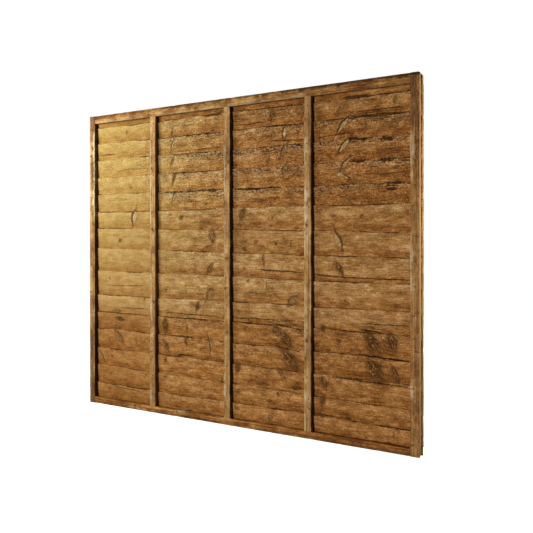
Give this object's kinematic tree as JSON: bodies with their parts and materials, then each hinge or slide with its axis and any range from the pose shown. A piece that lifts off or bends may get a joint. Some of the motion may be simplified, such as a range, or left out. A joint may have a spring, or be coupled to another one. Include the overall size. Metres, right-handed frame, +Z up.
{
  "type": "overlap fence panel",
  "caption": "Timber fence panel of thin waney-edged horizontal slats, each lapped over the next and held between a front and a rear frame of sawn battens.",
  "frame": {"origin": "foot of the left end face, halfway through the thickness of the front stile", "axes": "+X along the width to the right end, -Y out of the front frame's side, +Z up"},
  "size_m": [1.83, 0.0551, 1.524],
  "materials": {
    "front_timber": "sawn softwood battens, dip treated golden brown, faded at the arrises",
    "slat_timber": "rough sawn waney softwood board, dip treated golden brown, dark bark line",
    "rear_timber": "sawn softwood battens, dip treated golden brown",
    "nail_steel": "old galvanised nail heads, dulled and rusted (the scene's own pieces)"
  },
  "bodies": {
    "root": {"front_left_stile": "front_timber", "front_right_stile": "front_timber", "front_top_rail": "front_timber", "front_bottom_rail": "front_timber", "front_batten_1": "front_timber", "front_batten_2": "front_timber", "front_batten_3": "front_timber", "slat_1": "slat_timber", "slat_2": "slat_timber", "slat_3": "slat_timber", "slat_4": "slat_timber", "slat_5": "slat_timber", "slat_6": "slat_timber", "slat_7": "slat_timber", "slat_8": "slat_timber", "slat_9": "slat_timber", "slat_10": "slat_timber", "slat_11": "slat_timber", "slat_12": "slat_timber", "slat_13": "slat_timber", "slat_14": "slat_timber", "slat_15": "slat_timber", "slat_16": "slat_timber", "rear_left_stile": "rear_timber", "rear_right_stile": "rear_timber", "rear_top_rail": "rear_timber", "rear_bottom_rail": "rear_timber", "rear_batten_1": "rear_timber", "rear_batten_2": "rear_timber", "rear_batten_3": "rear_timber"}
  },
  "joints": []
}
